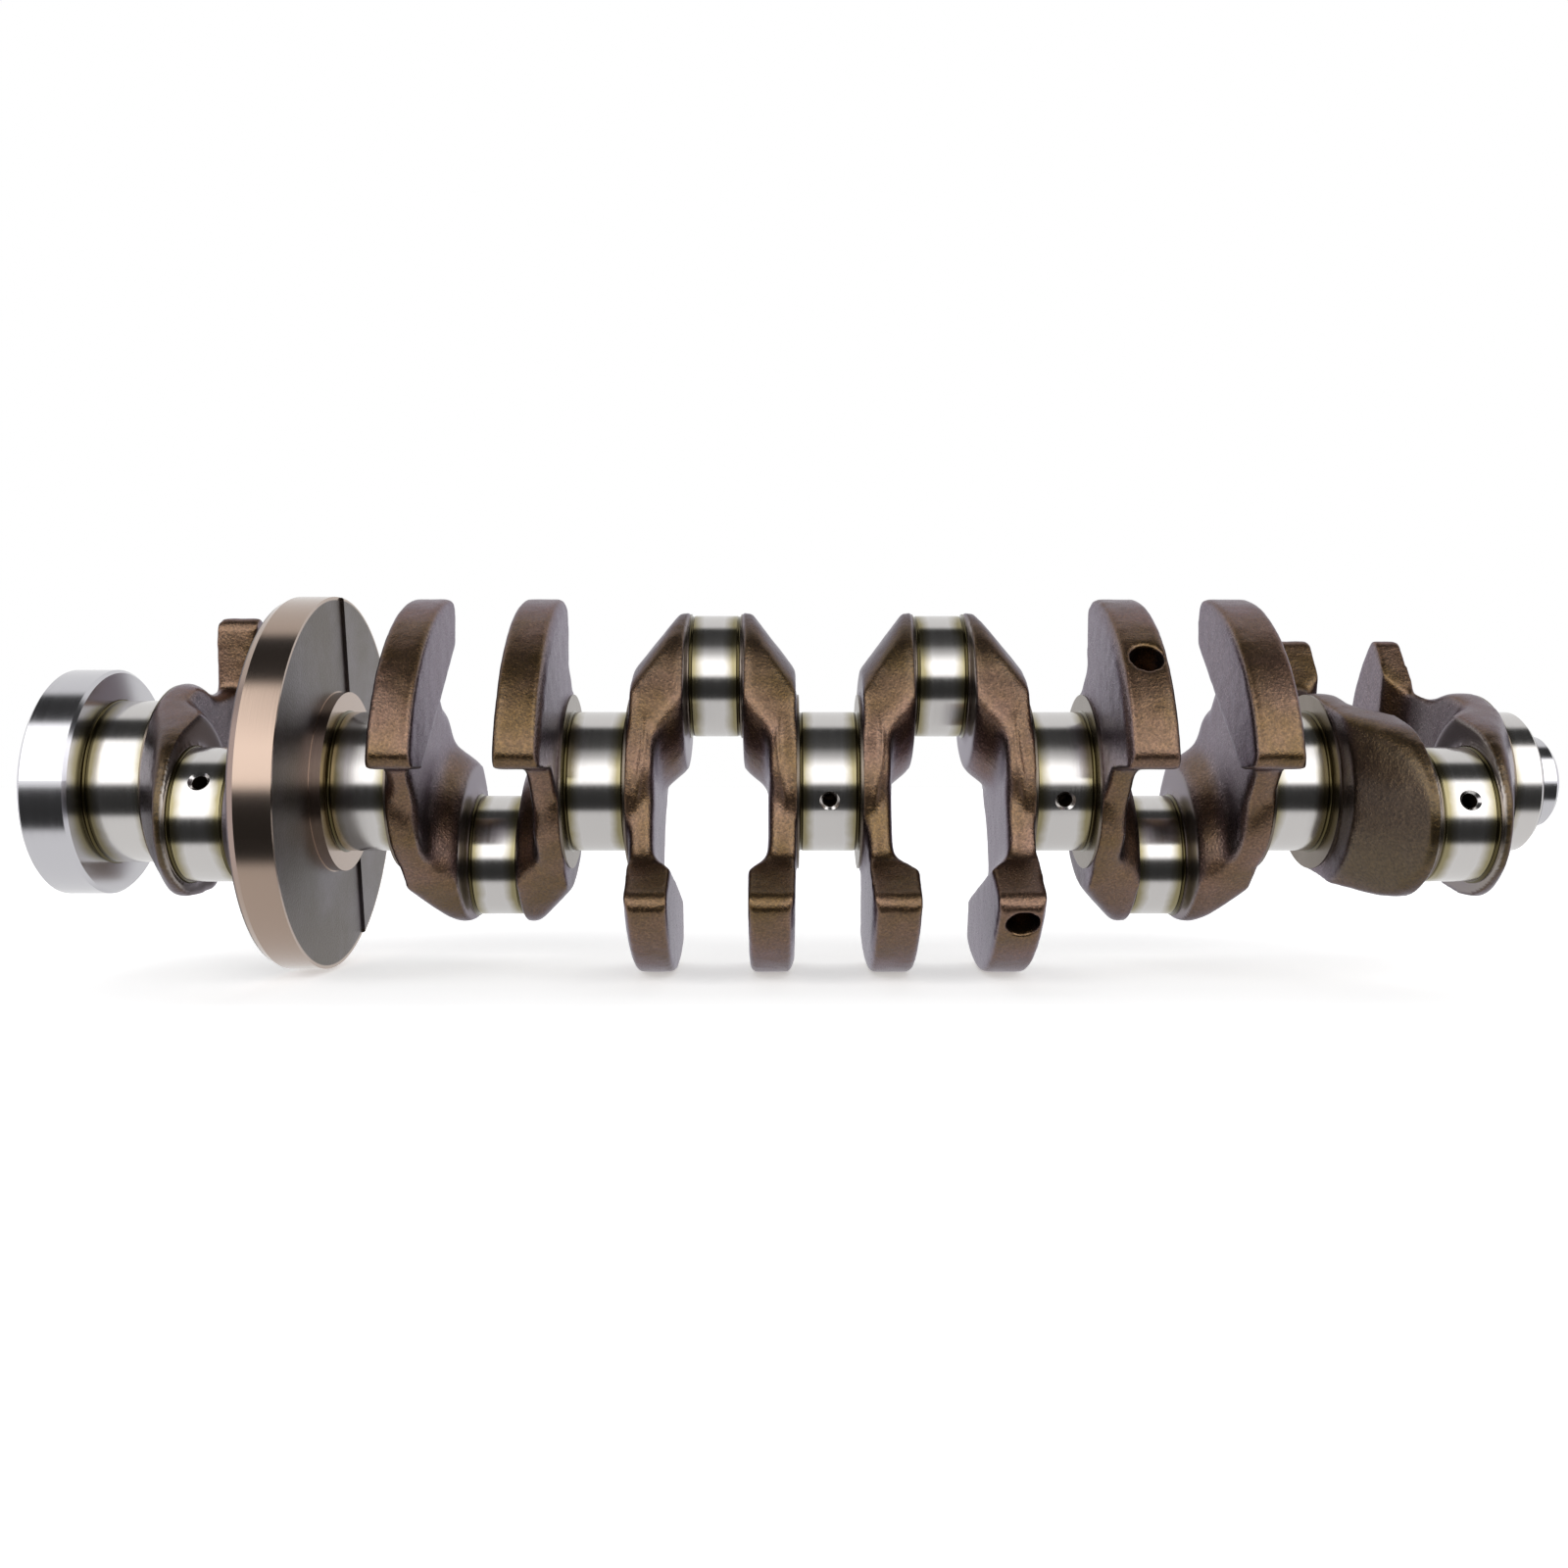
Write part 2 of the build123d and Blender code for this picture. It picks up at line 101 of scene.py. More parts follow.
def ground_journal_steel(name, radius, middle_x, half_width, axis=(0.0, 0.0)):
    """Ground, oiled steel round an axis, for journals that repeat at every bore pitch."""
    material, tree, output = start_material(name)
    place = add_node(tree, "ShaderNodeTexCoord").outputs["Object"]
    along = add_node(tree, "ShaderNodeSeparateXYZ", {0: place}).outputs["X"]
    shifted = add_node(tree, "ShaderNodeMath", {0: along, 1: BORE_PITCH / 2 - middle_x},
                       operation="ADD").outputs[0]
    wrapped = add_node(tree, "ShaderNodeMath", {0: shifted, 1: BORE_PITCH, 2: 0.0},
                       operation="WRAP").outputs[0]
    middle = add_node(tree, "ShaderNodeMath", {0: wrapped, 1: BORE_PITCH / 2},
                      operation="SUBTRACT").outputs[0]
    reach = add_node(tree, "ShaderNodeMath", {0: middle}, operation="ABSOLUTE").outputs[0]
    smears = add_node(tree, "ShaderNodeTexNoise", {
        "Vector": place, "Scale": 45.0, "Detail": 4.0, "Roughness": 0.6}).outputs[0]
    ragged = add_node(tree, "ShaderNodeMath", {0: smears, 1: OIL_FILM_WIDTH * 1.8, 2: reach},
                      operation="MULTIPLY_ADD").outputs[0]
    film = add_node(tree, "ShaderNodeMapRange", {
        "Value": ragged, "From Min": half_width - OIL_FILM_WIDTH * 0.7,
        "From Max": half_width + OIL_FILM_WIDTH * 0.6}).outputs[0]
    painted_fillet_shade = add_node(tree, "ShaderNodeMapRange", {
        "Value": reach, "From Min": half_width + FILLET_START,
        "From Max": half_width + FILLET_END},
        interpolation_type="SMOOTHSTEP").outputs[0]
    centred = add_node(tree, "ShaderNodeVectorMath", {0: place, 1: (0.0, *axis)},
                       operation="SUBTRACT").outputs[0]
    flat = add_node(tree, "ShaderNodeVectorMath", {0: centred, 1: (0.0, 1.0, 1.0)},
                    operation="MULTIPLY").outputs[0]
    off_axis = add_node(tree, "ShaderNodeVectorMath", {0: flat},
                        operation="LENGTH").outputs["Value"]
    drilled = add_node(tree, "ShaderNodeMapRange", {
        "Value": off_axis, "From Min": radius - HOLE_RIM,
        "From Max": radius - HOLE_WALL}).outputs[0]
    steel = add_node(tree, "ShaderNodeMix", {
        "Factor": film, 6: linear("#c9c6c4"), 7: linear("#8d8465")}, data_type="RGBA").outputs[2]
    # painted shade: the fillet groove, where the journal meets the web, is coloured dark olive
    filmed_and_fillet_shaded = add_node(tree, "ShaderNodeMix", {
        "Factor": painted_fillet_shade, 6: steel, 7: linear("#50482f")}, data_type="RGBA").outputs[2]
    # painted shade: the inside of each drilled oil hole is coloured dark brown; its higher
    # roughness is the drilled wall's own
    colour = add_node(tree, "ShaderNodeMix", {
        "Factor": drilled, 6: filmed_and_fillet_shaded, 7: linear("#3a2f25")}, data_type="RGBA").outputs[2]
    lines = add_node(tree, "ShaderNodeTexNoise", {
        "Vector": add_node(tree, "ShaderNodeMapping", {
            "Vector": place, "Scale": (1, 0.02, 0.02)}).outputs[0],
        "Scale": 1 / GRINDING_LINE, "Detail": 2.0}).outputs[0]
    ground = add_node(tree, "ShaderNodeMapRange", {
        "Value": lines, "To Min": 0.13, "To Max": 0.22}).outputs[0]
    roughness = add_node(tree, "ShaderNodeMix", {0: drilled, 2: ground, 3: 0.6}).outputs[0]
    bump = add_node(tree, "ShaderNodeBump", {
        "Height": lines, "Strength": 0.05, "Distance": 0.0001}).outputs[0]
    shader = add_node(tree, "ShaderNodeBsdfPrincipled", {
        "Base Color": colour, "Metallic": 1.0, "Roughness": roughness, "Normal": bump})
    tree.links.new(shader.outputs[0], output.inputs[0])
    return material


def give_finish(node, material):
    """Puts a material on a CAD node."""
    mesh = nodes[node].data
    mesh.materials.clear()
    mesh.materials.append(material)


main_steel = ground_journal_steel("ground steel, main journals", MAIN_RADIUS, 0.0,
                                  MAIN_HALF_WIDTH)
for number in range(1, 8):
    give_finish(f"main_journal_{number}", main_steel)

for degrees in sorted(set(PIN_ANGLES)):
    angle = math.radians(degrees)
    axis = (-THROW * math.cos(angle), THROW * math.sin(angle))
    pin_steel = ground_journal_steel(f"ground steel, crankpins at {degrees:.0f}", PIN_RADIUS,
                                     BORE_PITCH / 2, PIN_HALF_WIDTH, axis)
    for number in range(1, 7):
        if PIN_ANGLES[number - 1] == degrees:
            give_finish(f"crankpin_{number}", pin_steel)


# Forged webs
# Hot forged steel, left as it came from the dies: brown with oxide and oil, finely grained
# and soft at every edge. Of the webs themselves only the thrust faces round the crankpins
# are machined; the ground collars follow in a section of their own.

FORGED_WEBS = (1, 2, 3, 4, 5, 6, 7, 8, 9, 10, 12)
MAIN_SHOULDER = 0.01175
WEB_LENGTH = 0.0235
BOSS_FACE = 0.0223
BOSS_RADIUS = 0.039
SKIN_VOXEL = 0.0009
EDGE_ROUNDS = 12  # how often the skin is smoothed, which sets the radius of its edges
BLEND_ROUNDS = 110  # and how often where the cheek, hub and neck run into each other
DIE_UNEVENNESS = 0.0003
GRAIN = 0.0010
FLASH_WEBS = (5, 6, 7, 8)  # these show the ridge where the dies' flash was trimmed off
FLASH_HEIGHT = 0.0009
FLASH_LINE = 0.0062  # how far along the web the ridge runs, and how it wanders
FLASH_WANDER = 0.0018
FLASH_WAVES = 90
FLASH_WIDTH = 0.0011
FLASH_SPAN = (-0.012, 0.027)  # from its lower to its upper end, with a taper at each
FLASH_TAPERS = (0.006, 0.010)
FLASH_ACROSS = -0.016  # it shows on the side past this
MEETING_POINTS = 1e-6
HUB_END = 0.034  # the counterweight, past this, keeps its shape
TIP_START = 0.062  # and so does the cheek's tip
SHAPE_FADE = 0.006
FACE_START = 0.0205  # the thrust face and the collar stay flat
FACE_FADE = 0.0025
FACE_MARGIN = 0.004
COLLAR_END = 0.0022
COLLAR_FADE = 0.001
BLEND_STEPS = 10
RING_GAP = 0.0002  # the skin steps back this far behind the ground collars
MAIN_RING_DEPTH, MAIN_RING_RADIUS = 0.0010, 0.0395
PIN_RING_DEPTH, PIN_RING_RADIUS = 0.0002, 0.0262


def web_place(number):
    """Where a web starts, which way it faces along the shaft, and its crankpin's angle."""
    main, pin = number // 2 + 1, (number + 1) // 2
    facing = 1.0 if number % 2 == 0 else -1.0
    main_x = BORE_PITCH * (4 - main)
    return main_x + facing * MAIN_SHOULDER, facing, math.radians(PIN_ANGLES[pin - 1])


def web_coordinates(points, number):
    """Distance along the web, towards its crankpin and across it, for an array of points."""
    start, facing, angle = web_place(number)
    along = (points[:, 0] - start) * facing
    towards = -points[:, 1] * math.cos(angle) + points[:, 2] * math.sin(angle)
    across = points[:, 1] * math.sin(angle) + points[:, 2] * math.cos(angle)
    return along, towards, across


def points_of(mesh):
    """A mesh's points as an array."""
    values = np.empty(len(mesh.vertices) * 3, np.float64)
    mesh.vertices.foreach_get("co", values)
    return values.reshape(-1, 3)


def finished_mesh(piece, name):
    """The piece's mesh with its modifiers worked out."""
    depsgraph = bpy.context.evaluated_depsgraph_get()
    depsgraph.update()
    mesh = bpy.data.meshes.new_from_object(piece.evaluated_get(depsgraph))
    mesh.name = name
    return mesh


die_texture = bpy.data.textures.new("die unevenness", "CLOUDS")
die_texture.noise_scale = 0.007
die_texture.noise_depth = 2


def even_skin(node):
    """A closed, evenly meshed skin round a web."""
    mesh = nodes[node].data.copy()
    shell = bmesh.new()
    shell.from_mesh(mesh)
    bmesh.ops.remove_doubles(shell, verts=shell.verts, dist=MEETING_POINTS)
    shell.to_mesh(mesh)
    shell.free()
    piece = bpy.data.objects.new(f"forged_{node}", mesh)
    bpy.context.scene.collection.objects.link(piece)
    remesh = piece.modifiers.new("skin", "REMESH")
    remesh.mode = "VOXEL"
    remesh.voxel_size = SKIN_VOXEL
    piece.data = finished_mesh(piece, piece.name)
    piece.modifiers.clear()
    return piece


def soften(piece, number):
    """Rounds the edges and blends of a skin, but not its machined face or counterweight."""
    points = points_of(piece.data)
    along, towards, across = web_coordinates(points, number)
    from_pin = np.hypot(towards - THROW, across)
    machined = (along > BOSS_FACE - 0.0006) & (from_pin < BOSS_RADIUS)
    free = piece.vertex_groups.new(name="as forged")
    free.add(np.flatnonzero(~machined).tolist(), 1.0, "REPLACE")
    past_hub = np.clip((-towards - HUB_END) / SHAPE_FADE, 0, 1)
    near_pin = from_pin < BOSS_RADIUS + FACE_MARGIN
    at_face = np.clip((along - FACE_START) / FACE_FADE, 0, 1) * near_pin
    at_collar = np.clip((COLLAR_END - along) / COLLAR_FADE, 0, 1)
    tip = np.clip((towards - TIP_START) / SHAPE_FADE, 0, 1)
    soft = (1 - past_hub) * (1 - at_face) * (1 - at_collar) * (1 - tip)
    blended = piece.vertex_groups.new(name="blended")
    for step in range(1, BLEND_STEPS + 1):
        chosen = np.flatnonzero(np.round(soft * BLEND_STEPS) == step).tolist()
        blended.add(chosen, step / BLEND_STEPS, "REPLACE")
    blend = piece.modifiers.new("blends", "SMOOTH")
    blend.iterations = BLEND_ROUNDS
    blend.vertex_group = blended.name
    smooth = piece.modifiers.new("soft edges", "SMOOTH")
    smooth.iterations = EDGE_ROUNDS
    smooth.vertex_group = free.name
    uneven = piece.modifiers.new("die unevenness", "DISPLACE")
    uneven.texture = die_texture
    uneven.strength = DIE_UNEVENNESS
    uneven.mid_level = 0.9
    uneven.vertex_group = free.name
    piece.data = finished_mesh(piece, piece.name)
    piece.modifiers.clear()
    piece.vertex_groups.clear()


def add_attribute(piece, name, values):
    """Stores one number for each point, which the forging's material reads."""
    attribute = piece.data.attributes.new(name, "FLOAT", "POINT")
    attribute.data.foreach_set("value", values.astype(np.float32))


def mark_surfaces(piece, number):
    """Raises the flash ridge, steps back behind the collars and marks the machined face."""
    points = points_of(piece.data)
    along, towards, across = web_coordinates(points, number)
    from_pin = np.hypot(towards - THROW, across)
    if number in FLASH_WEBS:
        height = points[:, 2]
        line = FLASH_LINE + FLASH_WANDER * np.sin(height * FLASH_WAVES)
        lower_end = np.clip((height - FLASH_SPAN[0]) / FLASH_TAPERS[0], 0, 1)
        upper_end = np.clip((FLASH_SPAN[1] - height) / FLASH_TAPERS[1], 0, 1)
        shape = np.exp(-((along - line) / FLASH_WIDTH) ** 2)
        ridge = shape * lower_end * upper_end * (across < FLASH_ACROSS)
        points[:, 1] -= FLASH_HEIGHT * ridge
    in_main_ring = (along < MAIN_RING_DEPTH) & (np.hypot(towards, across) < MAIN_RING_RADIUS)
    in_pin_ring = (along > BOSS_FACE + PIN_RING_DEPTH) & (from_pin < PIN_RING_RADIUS)
    start, facing, angle = web_place(number)
    points[in_main_ring, 0] += facing * RING_GAP
    points[in_pin_ring, 0] -= facing * RING_GAP
    piece.data.vertices.foreach_set("co", points.ravel())
    machined = (along > BOSS_FACE - 0.0003) & (from_pin < BOSS_RADIUS)
    add_attribute(piece, "machined", machined)
    add_attribute(piece, "turning_radius", from_pin)
    normals = np.empty(len(piece.data.vertices) * 3, np.float32)
    piece.data.vertex_normals.foreach_get("vector", normals)
    # how far each point faces the shaft's ends, which sets the painted reflection on those faces
    add_attribute(piece, "facing_ends", np.abs(normals[::3]))
    piece.data.shade_smooth()


forging, tree, output = start_material("as-forged steel, oxide brown")
place = add_node(tree, "ShaderNodeTexCoord").outputs["Object"]
clouds = add_node(tree, "ShaderNodeTexNoise", {
    "Vector": place, "Scale": 28.0, "Detail": 4.0, "Roughness": 0.55}).outputs[0]
patches = add_node(tree, "ShaderNodeMapRange", {
    "Value": clouds, "From Min": 0.38, "From Max": 0.62}).outputs[0]
scale = add_node(tree, "ShaderNodeMix", {
    "Factor": patches, 6: linear("#68502f"), 7: linear("#775b4a")}, data_type="RGBA").outputs[2]
# painted reflection: faces turned towards the shaft's ends are coloured lilac grey, as the bright
# side walls would show in them
facing_ends = add_node(tree, "ShaderNodeAttribute", attribute_name="facing_ends").outputs["Fac"]
painted_end_reflection = add_node(tree, "ShaderNodeMapRange", {
    "Value": facing_ends, "From Min": 0.6, "From Max": 0.97, "To Max": 0.75}).outputs[0]
scale = add_node(tree, "ShaderNodeMix", {
    "Factor": painted_end_reflection, 6: scale, 7: linear("#857b80")}, data_type="RGBA").outputs[2]
turning = add_node(tree, "ShaderNodeAttribute", attribute_name="turning_radius").outputs["Fac"]
oily = add_node(tree, "ShaderNodeMapRange", {
    "Value": turning, "From Min": 0.040, "From Max": 0.026, "To Max": 0.8}).outputs[0]
oxide = add_node(tree, "ShaderNodeMix", {
    "Factor": oily, 6: scale, 7: linear("#4a3c20")}, data_type="RGBA").outputs[2]
grain = add_node(tree, "ShaderNodeTexNoise", {
    "Vector": place, "Scale": 1 / GRAIN, "Detail": 3.0, "Roughness": 0.6}).outputs[0]
flecks = add_node(tree, "ShaderNodeMapRange", {
    "Value": grain, "From Min": 0.35, "From Max": 0.7, "To Min": 0.62, "To Max": 1.3}).outputs[0]
flecked = add_node(tree, "ShaderNodeVectorMath", {0: oxide, "Scale": flecks},
                   operation="SCALE").outputs[0]
is_machined = add_node(tree, "ShaderNodeAttribute", attribute_name="machined").outputs["Fac"]
rings = add_node(tree, "ShaderNodeTexNoise", {
    "W": turning, "Scale": 1600.0, "Detail": 1.0}, noise_dimensions="1D").outputs[0]
colour = add_node(tree, "ShaderNodeMix", {
    "Factor": is_machined, 6: flecked, 7: linear("#8f8780")}, data_type="RGBA").outputs[2]
dull = add_node(tree, "ShaderNodeMapRange", {
    "Value": grain, "To Min": 0.36, "To Max": 0.22}).outputs[0]
roughness = add_node(tree, "ShaderNodeMix", {0: is_machined, 2: dull, 3: 0.28}).outputs[0]
height = add_node(tree, "ShaderNodeMix", {0: is_machined, 2: grain, 3: 0.5}).outputs[0]
grain_bump = add_node(tree, "ShaderNodeBump", {
    "Height": height, "Strength": 0.75, "Distance": 0.0003}).outputs[0]
ring_height = add_node(tree, "ShaderNodeMath", {0: rings, 1: is_machined},
                       operation="MULTIPLY").outputs[0]
ring_bump = add_node(tree, "ShaderNodeBump", {
    "Height": ring_height, "Strength": 0.3, "Distance": 0.0001, "Normal": grain_bump}).outputs[0]
shader = add_node(tree, "ShaderNodeBsdfPrincipled", {
    "Base Color": colour, "Metallic": 1.0, "Roughness": roughness, "Normal": ring_bump,
    "Specular Tint": linear("#b4afc4"), "Coat Weight": 0.6, "Coat Roughness": 0.3})
tree.links.new(shader.outputs[0], output.inputs[0])

for number in FORGED_WEBS:
    node = f"web_{number:02d}"
    web = even_skin(node)
    soften(web, number)
    mark_surfaces(web, number)
    web.data.materials.clear()
    web.data.materials.append(forging)
    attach(web, "root")
    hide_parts(node)


# Ground collars
# Thin flat rings that every forged web turns towards its main journal and its crankpin.
# They are ground in the same setting as the journals, so their edges stay crisp.

COLLAR_THICKNESS = 0.0012
MAIN_COLLAR_RADIUS = 0.03505
REAR_WEB = 12  # beside the thicker journal
REAR_COLLAR_RADIUS = 0.03905
PIN_COLLAR_RADIUS = 0.0257
COLLAR_SEGMENTS = 160
CRISP_ANGLE = 40  # degrees

collar_steel, tree, output = start_material("ground steel, collars")
place = add_node(tree, "ShaderNodeTexCoord").outputs["Object"]
smears = add_node(tree, "ShaderNodeTexNoise", {
    "Vector": place, "Scale": 60.0, "Detail": 4.0}).outputs[0]
colour = add_node(tree, "ShaderNodeMix", {
    "Factor": smears, 6: linear("#5a4f41"), 7: linear("#8b8178")}, data_type="RGBA").outputs[2]
shader = add_node(tree, "ShaderNodeBsdfPrincipled", {
    "Base Color": colour, "Metallic": 1.0, "Roughness": 0.26})
tree.links.new(shader.outputs[0], output.inputs[0])

collars_tree = bpy.data.node_groups.new("ground collars", "GeometryNodeTree")
sockets = {}
for name, kind in (("Centres", "NodeSocketGeometry"), ("Thickness", "NodeSocketFloat"),
                   ("Segments", "NodeSocketInt")):
    sockets[name] = collars_tree.interface.new_socket(name, in_out="INPUT", socket_type=kind)
collars_tree.interface.new_socket("Collars", in_out="OUTPUT", socket_type="NodeSocketGeometry")
entry = add_node(collars_tree, "NodeGroupInput").outputs
blank = add_node(collars_tree, "GeometryNodeMeshCylinder", {
    "Vertices": entry["Segments"], "Radius": 1.0, "Depth": entry["Thickness"]}).outputs["Mesh"]
upright = add_node(collars_tree, "GeometryNodeTransform", {
    "Geometry": blank, "Rotation": (0, math.pi / 2, 0)}).outputs[0]
radius = add_node(collars_tree, "GeometryNodeInputNamedAttribute", {"Name": "collar_radius"},
                  data_type="FLOAT").outputs["Attribute"]
width = add_node(collars_tree, "ShaderNodeCombineXYZ", {0: 1.0, 1: radius, 2: radius}).outputs[0]
placed = add_node(collars_tree, "GeometryNodeInstanceOnPoints", {
    "Points": entry["Centres"], "Instance": upright, "Scale": width}).outputs[0]
solid = add_node(collars_tree, "GeometryNodeRealizeInstances", {0: placed}).outputs[0]
finished = add_node(collars_tree, "GeometryNodeSetMaterial", {
    "Geometry": solid, "Material": collar_steel}).outputs[0]
add_node(collars_tree, "NodeGroupOutput", {0: finished})

centres, radii = [], []
for number in FORGED_WEBS:
    start, facing, angle = web_place(number)
    into = facing * COLLAR_THICKNESS / 2
    pin_y, pin_z = -THROW * math.cos(angle), THROW * math.sin(angle)
    centres += [(start + into, 0, 0), (start + facing * WEB_LENGTH - into, pin_y, pin_z)]
    radii += [REAR_COLLAR_RADIUS if number == REAR_WEB else MAIN_COLLAR_RADIUS, PIN_COLLAR_RADIUS]
centre_mesh = bpy.data.meshes.new("ground_collars")
centre_mesh.from_pydata(centres, [], [])
centre_mesh.attributes.new("collar_radius", "FLOAT", "POINT").data.foreach_set("value", radii)
collars = bpy.data.objects.new("ground_collars", centre_mesh)
bpy.context.scene.collection.objects.link(collars)
maker = collars.modifiers.new("collars", "NODES")
maker.node_group = collars_tree
maker[sockets["Thickness"].identifier] = COLLAR_THICKNESS
maker[sockets["Segments"].identifier] = COLLAR_SEGMENTS
collars.data = finished_mesh(collars, "ground_collars")
collars.modifiers.clear()
collars.data.shade_smooth()
collars.data.set_sharp_from_angle(angle=math.radians(CRISP_ANGLE))
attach(collars, "root")


# Round web
# A full disc beside journal 6, forged like the others but with its rim turned to a satin
# finish. A shallow step runs across the face, where one half is a little thinner.

RIM_RADIUS = 0.0730
RIM_FADE = 0.0004
DISC_BOSS_EDGE = (0.0366, 0.0361)  # the turned boss ends between these
TURNING_LINE = 0.0009

disc_steel, tree, output = start_material("forged steel with a turned rim")
place = add_node(tree, "ShaderNodeTexCoord").outputs["Object"]
flat = add_node(tree, "ShaderNodeVectorMath", {0: place, 1: (0.0, 1.0, 1.0)},
                operation="MULTIPLY").outputs[0]
reach = add_node(tree, "ShaderNodeVectorMath", {0: flat}, operation="LENGTH").outputs["Value"]
rim = add_node(tree, "ShaderNodeMapRange", {
    "Value": reach, "From Min": RIM_RADIUS, "From Max": RIM_RADIUS + RIM_FADE}).outputs[0]
boss = add_node(tree, "ShaderNodeMapRange", {
    "Value": reach, "From Min": DISC_BOSS_EDGE[0], "From Max": DISC_BOSS_EDGE[1]}).outputs[0]
turned = add_node(tree, "ShaderNodeMath", {0: rim, 1: boss}, operation="MAXIMUM").outputs[0]
grain = add_node(tree, "ShaderNodeTexNoise", {
    "Vector": place, "Scale": 1 / GRAIN, "Detail": 3.0, "Roughness": 0.6}).outputs[0]
clouds = add_node(tree, "ShaderNodeTexNoise", {
    "Vector": place, "Scale": 22.0, "Detail": 6.0, "Roughness": 0.6}).outputs[0]
patches = add_node(tree, "ShaderNodeMapRange", {
    "Value": clouds, "From Min": 0.38, "From Max": 0.62}).outputs[0]
scale_colour = add_node(tree, "ShaderNodeMix", {
    "Factor": patches, 6: linear("#463a2f"), 7: linear("#625a5e")}, data_type="RGBA").outputs[2]
colour = add_node(tree, "ShaderNodeMix", {
    "Factor": turned, 6: scale_colour, 7: linear("#a28e80")}, data_type="RGBA").outputs[2]
lines = add_node(tree, "ShaderNodeTexNoise", {
    "Vector": add_node(tree, "ShaderNodeMapping", {
        "Vector": place, "Scale": (1, 0.02, 0.02)}).outputs[0],
    "Scale": 1 / TURNING_LINE, "Detail": 3.0}).outputs[0]
height = add_node(tree, "ShaderNodeMix", {0: turned, 2: grain, 3: lines}).outputs[0]
strength = add_node(tree, "ShaderNodeMapRange", {
    "Value": turned, "To Min": 0.9, "To Max": 0.08}).outputs[0]
bump = add_node(tree, "ShaderNodeBump", {
    "Height": height, "Strength": strength, "Distance": 0.00025}).outputs[0]
roughness = add_node(tree, "ShaderNodeMapRange", {
    "Value": turned, "To Min": 0.40, "To Max": 0.16}).outputs[0]
shader = add_node(tree, "ShaderNodeBsdfPrincipled", {
    "Base Color": colour, "Metallic": 1.0, "Roughness": roughness, "Normal": bump,
    "Coat Weight": 0.4, "Coat Roughness": 0.3})
tree.links.new(shader.outputs[0], output.inputs[0])
give_finish("round_web_11", disc_steel)


# Rear flange, its dowel, and the nose
# Fine-turned bright steel. The rear oil seal runs on the flange, the flywheel bolts to its
# back, and the timing gear goes on the nose.

turned_steel, tree, output = start_material("fine-turned steel")
place = add_node(tree, "ShaderNodeTexCoord").outputs["Object"]
lines = add_node(tree, "ShaderNodeTexNoise", {
    "Vector": add_node(tree, "ShaderNodeMapping", {
        "Vector": place, "Scale": (1, 0.02, 0.02)}).outputs[0],
    "Scale": 1 / TURNING_LINE, "Detail": 3.0}).outputs[0]
roughness = add_node(tree, "ShaderNodeMapRange", {
    "Value": lines, "To Min": 0.12, "To Max": 0.22}).outputs[0]
bump = add_node(tree, "ShaderNodeBump", {
    "Height": lines, "Strength": 0.05, "Distance": 0.0001}).outputs[0]
shader = add_node(tree, "ShaderNodeBsdfPrincipled", {
    "Base Color": linear("#c5c4c8"), "Metallic": 1.0, "Roughness": roughness, "Normal": bump})
tree.links.new(shader.outputs[0], output.inputs[0])
for node in ("rear_flange", "flywheel_dowel", "nose"):
    give_finish(node, turned_steel)


# Studio
# A white table, a large soft light in front and a white wall behind, with the dark gaps
# between them that give polished steel its bands.

CAMERA_PLACE = (-0.01764, -0.56469, -0.00104)
CAMERA_TURN = (94.192, -0.005, -0.115)  # degrees
CAMERA_SHIFT = (-0.00186, -0.06519)
LENS = 31.91
SIDE_BANDS = (  # degrees up from the front, over the top to the back, and brightness
    (-180, 0.95), (-53, 0.95), (-47, 0.04), (-7, 0.04), (-1, 2.3), (56, 2.3), (63, 0.04),
    (95, 0.04), (102, 0.95), (180, 0.95))
MIDDLE_BANDS = (  # straight ahead the light's upper edge fades instead
    (-180, 0.85), (-53, 0.85), (-47, 0.04), (-8, 0.04), (-2, 2.0), (20, 2.2), (38, 0.8),
    (56, 0.08), (95, 0.04), (103, 0.95), (180, 0.95))
BRIGHTEST = 2.3
ENDS_LIGHT = (0.42, 0.41, 0.45, 1.0)
TABLE_GAP = 0.0002
TABLE_REACH = 20.0

floor_mesh = bpy.data.meshes.new("table")
table_z = cad_box[0][2] - TABLE_GAP
corners = [(x * TABLE_REACH, y * TABLE_REACH, table_z)
           for x, y in ((-1, -1), (1, -1), (1, 1), (-1, 1))]
floor_mesh.from_pydata(corners, [], [(0, 1, 2, 3)])
table = bpy.data.objects.new("table", floor_mesh)
bpy.context.scene.collection.objects.link(table)
table.visible_glossy = False
table_white, tree, output = start_material("white table")
shader = add_node(tree, "ShaderNodeBsdfPrincipled", {
    "Base Color": linear("#ffffff"), "Roughness": 1.0, "Specular IOR Level": 0.0,
    "Emission Color": linear("#ffffff"), "Emission Strength": 0.4})
tree.links.new(shader.outputs[0], output.inputs[0])
floor_mesh.materials.append(table_white)

world = bpy.data.worlds.new("studio")
bpy.context.scene.world = world
world.use_nodes = True
tree = world.node_tree
tree.nodes.clear()
direction = add_node(tree, "ShaderNodeTexCoord").outputs["Generated"]
parts = add_node(tree, "ShaderNodeSeparateXYZ", {0: direction}).outputs
front = add_node(tree, "ShaderNodeMath", {0: parts["Y"], 1: -1.0}, operation="MULTIPLY").outputs[0]
rise = add_node(tree, "ShaderNodeMath", {0: parts["Z"], 1: front}, operation="ARCTAN2").outputs[0]
turn = add_node(tree, "ShaderNodeMapRange", {
    "Value": rise, "From Min": -math.pi, "From Max": math.pi}).outputs[0]


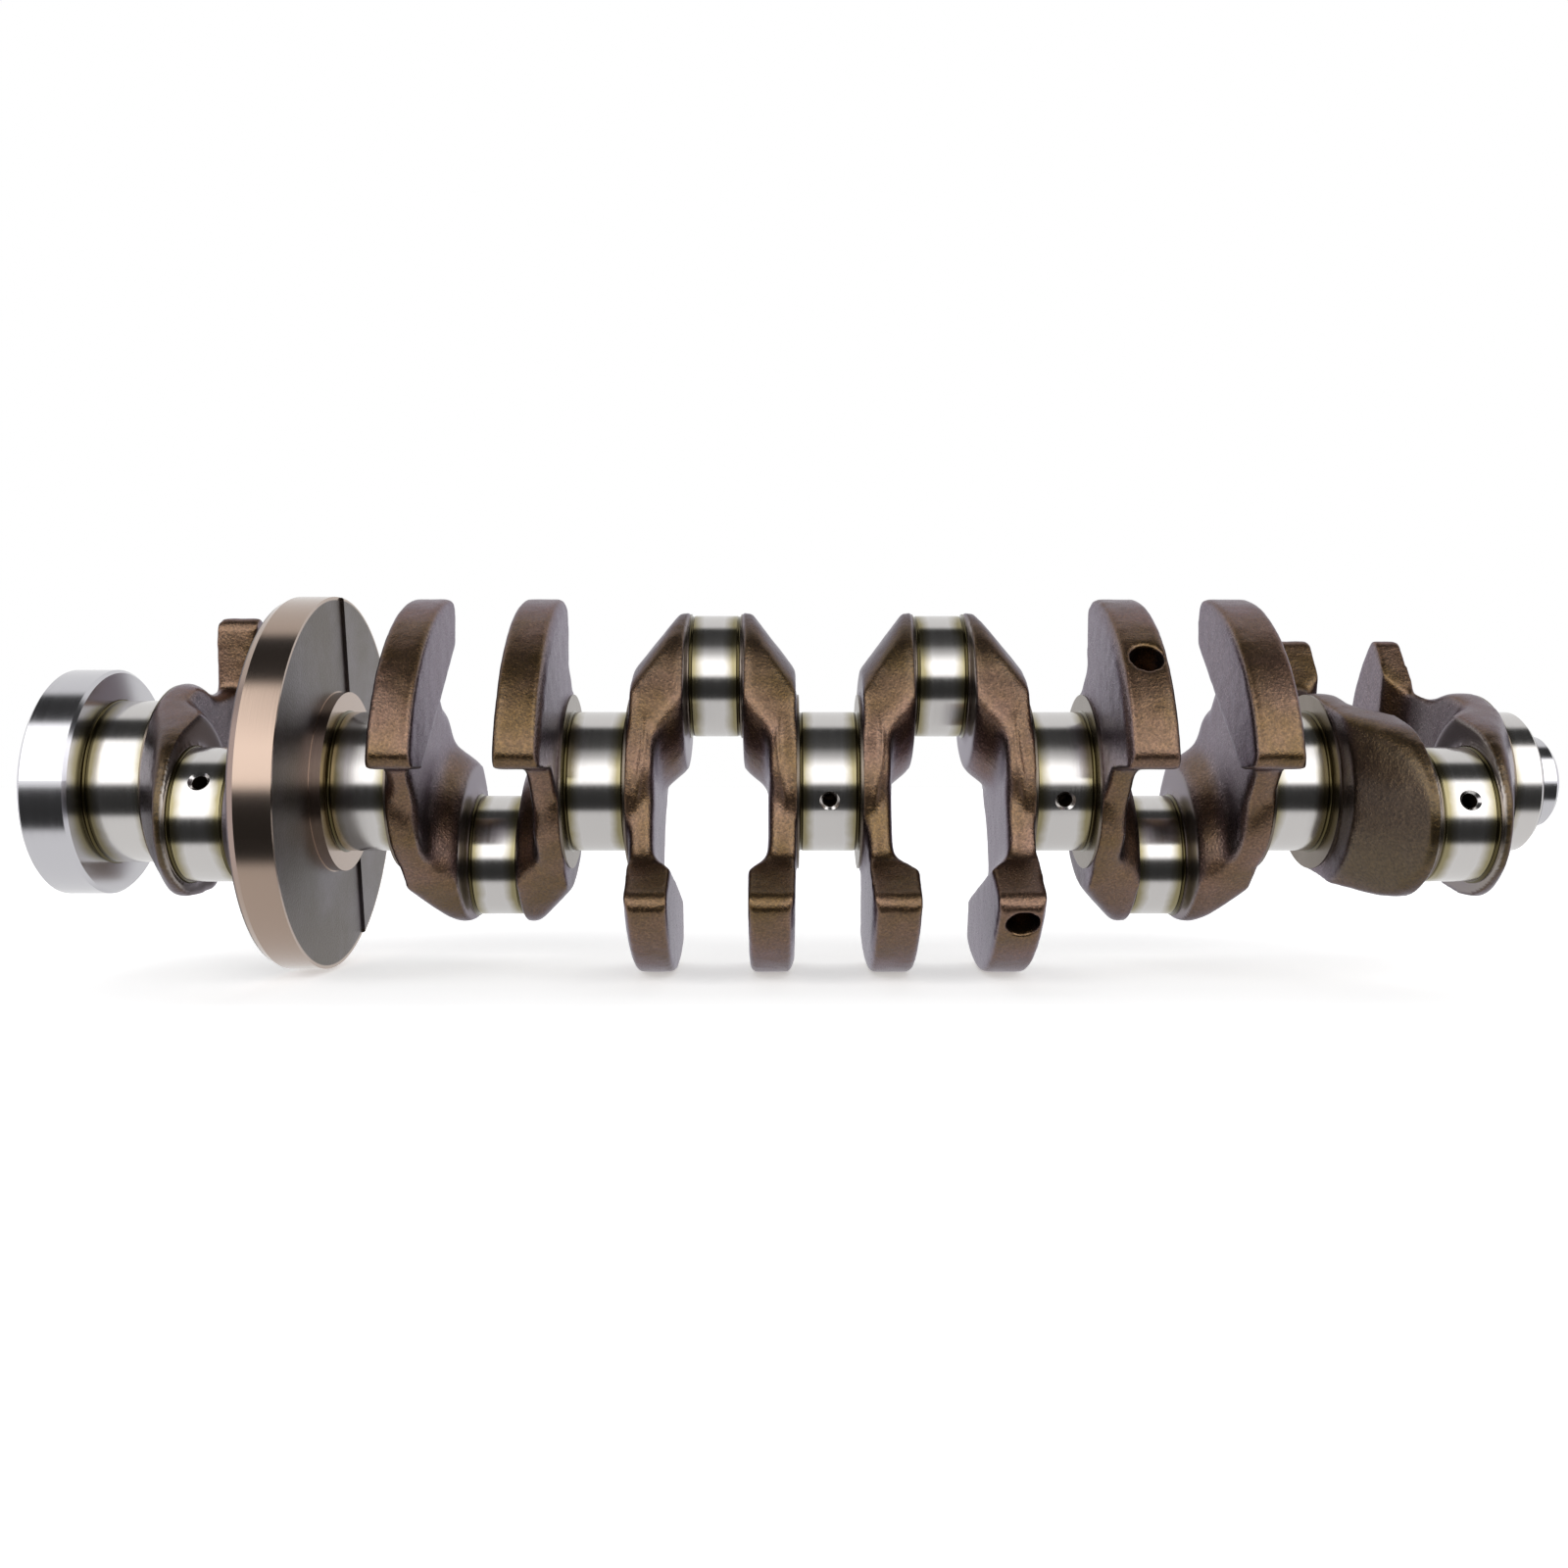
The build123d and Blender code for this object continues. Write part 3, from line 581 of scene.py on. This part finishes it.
def light_ramp(bands):
    """A colour ramp round the shaft's direction, from a list of angles and brightnesses."""
    node = add_node(tree, "ShaderNodeValToRGB", {0: turn})
    ramp = node.color_ramp
    while len(ramp.elements) < len(bands):
        ramp.elements.new(0.5)
    for element, (degrees, brightness) in zip(ramp.elements, bands):
        element.position = (degrees + 180) / 360
        element.color = [brightness / BRIGHTEST] * 3 + [1.0]
    return node.outputs[0]


sideways = add_node(tree, "ShaderNodeMath", {0: parts["X"]}, operation="ABSOLUTE").outputs[0]
to_side = add_node(tree, "ShaderNodeMapRange", {
    "Value": sideways, "From Min": 0.2, "From Max": 0.42}).outputs[0]
light = add_node(tree, "ShaderNodeMix", {
    "Factor": to_side, 6: light_ramp(MIDDLE_BANDS), 7: light_ramp(SIDE_BANDS)},
    data_type="RGBA").outputs[2]
poles = add_node(tree, "ShaderNodeMapRange", {
    "Value": sideways, "From Min": 0.8, "From Max": 0.95}).outputs[0]
ends_lit = add_node(tree, "ShaderNodeMix", {
    "Factor": poles, 6: light, 7: ENDS_LIGHT}, data_type="RGBA").outputs[2]
studio = add_node(tree, "ShaderNodeBackground", {"Color": ends_lit,
                                                 "Strength": BRIGHTEST}).outputs[0]
backdrop = add_node(tree, "ShaderNodeBackground", {"Color": (1, 1, 1, 1)}).outputs[0]
seen = add_node(tree, "ShaderNodeLightPath").outputs["Is Camera Ray"]
mixed = add_node(tree, "ShaderNodeMixShader", {0: seen, 1: studio, 2: backdrop}).outputs[0]
add_node(tree, "ShaderNodeOutputWorld", {0: mixed})

camera_data = bpy.data.cameras.new("camera")
camera = bpy.data.objects.new("camera", camera_data)
bpy.context.scene.collection.objects.link(camera)
bpy.context.scene.camera = camera
camera_data.sensor_width = 36
camera_data.lens = LENS
camera_data.clip_start = 0.01
camera.location = CAMERA_PLACE
camera_data.shift_x, camera_data.shift_y = CAMERA_SHIFT
camera.rotation_euler = [math.radians(degrees) for degrees in CAMERA_TURN]
bpy.context.scene.view_settings.view_transform = "Standard"
